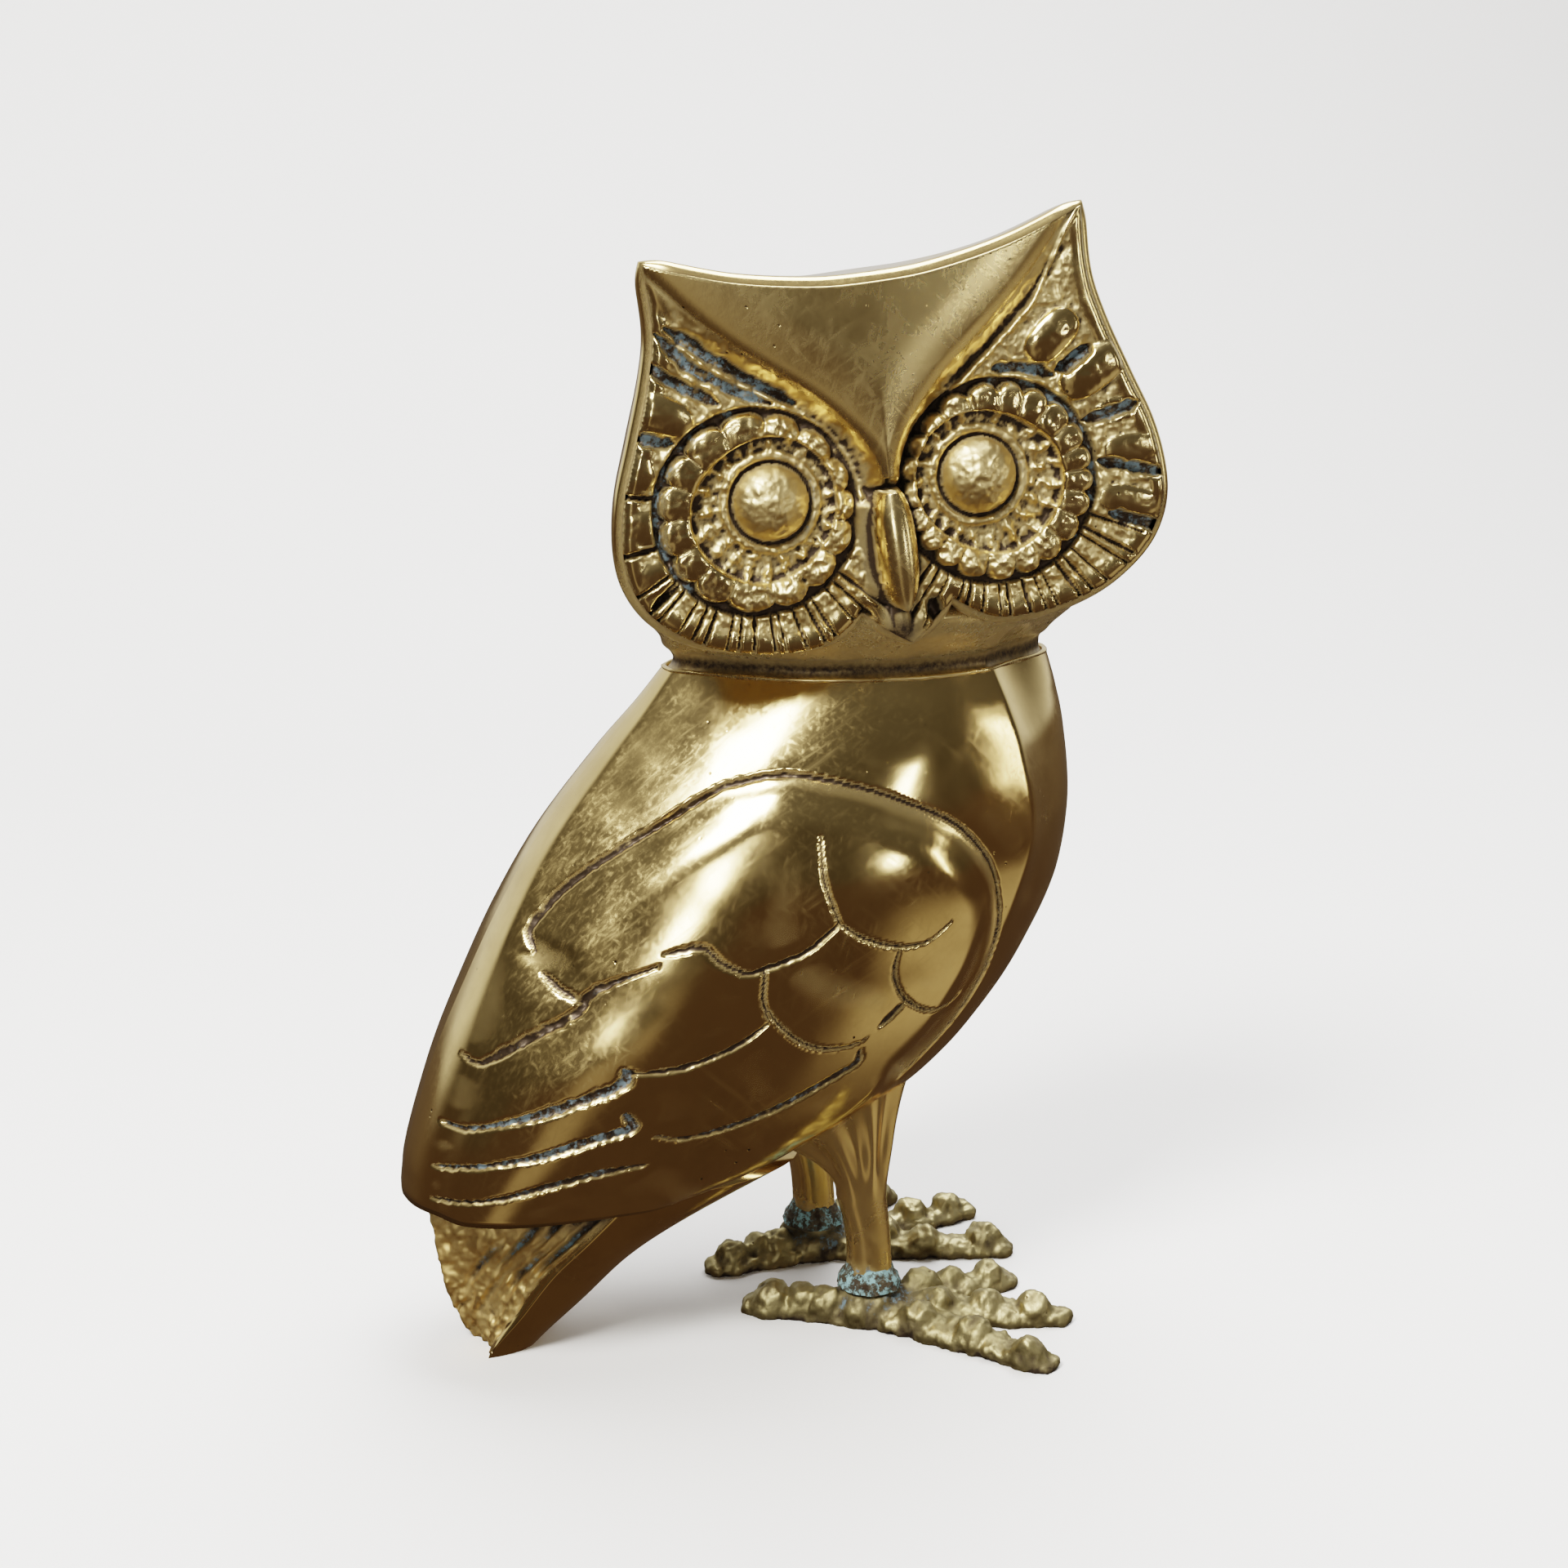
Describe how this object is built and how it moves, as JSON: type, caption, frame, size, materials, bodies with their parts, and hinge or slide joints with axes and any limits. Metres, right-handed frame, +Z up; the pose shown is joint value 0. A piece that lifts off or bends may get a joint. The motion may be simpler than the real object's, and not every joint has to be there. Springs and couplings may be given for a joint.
{
  "type": "owl figurine",
  "caption": "Cast brass owl standing on two feet and its tail, head turned to its right, with relief wings and a raised face disc.",
  "frame": {"origin": "on the table, under the middle of the owl's bounding box", "axes": "+Z up, the body faces +X, the turned face looks towards -Y"},
  "size_m": [0.0952, 0.0622, 0.1497],
  "materials": {
    "polished_brass": "polished, with a brown patina in the hollows and fine scratches",
    "cast_brass": "as cast, pale and grainy",
    "braze": "solder with verdigris"
  },
  "bodies": {
    "root": {"head_face": "polished_brass", "head_back": "polished_brass", "neck_collar": "polished_brass", "neck_braze": "braze", "body_right": "polished_brass", "body_left": "polished_brass", "tail": "cast_brass", "belly_plug": "polished_brass", "leg_right": "polished_brass", "leg_left": "polished_brass", "foot_right": "cast_brass", "foot_left": "cast_brass", "ankle_braze_right": "braze", "ankle_braze_left": "braze"}
  },
  "joints": []
}
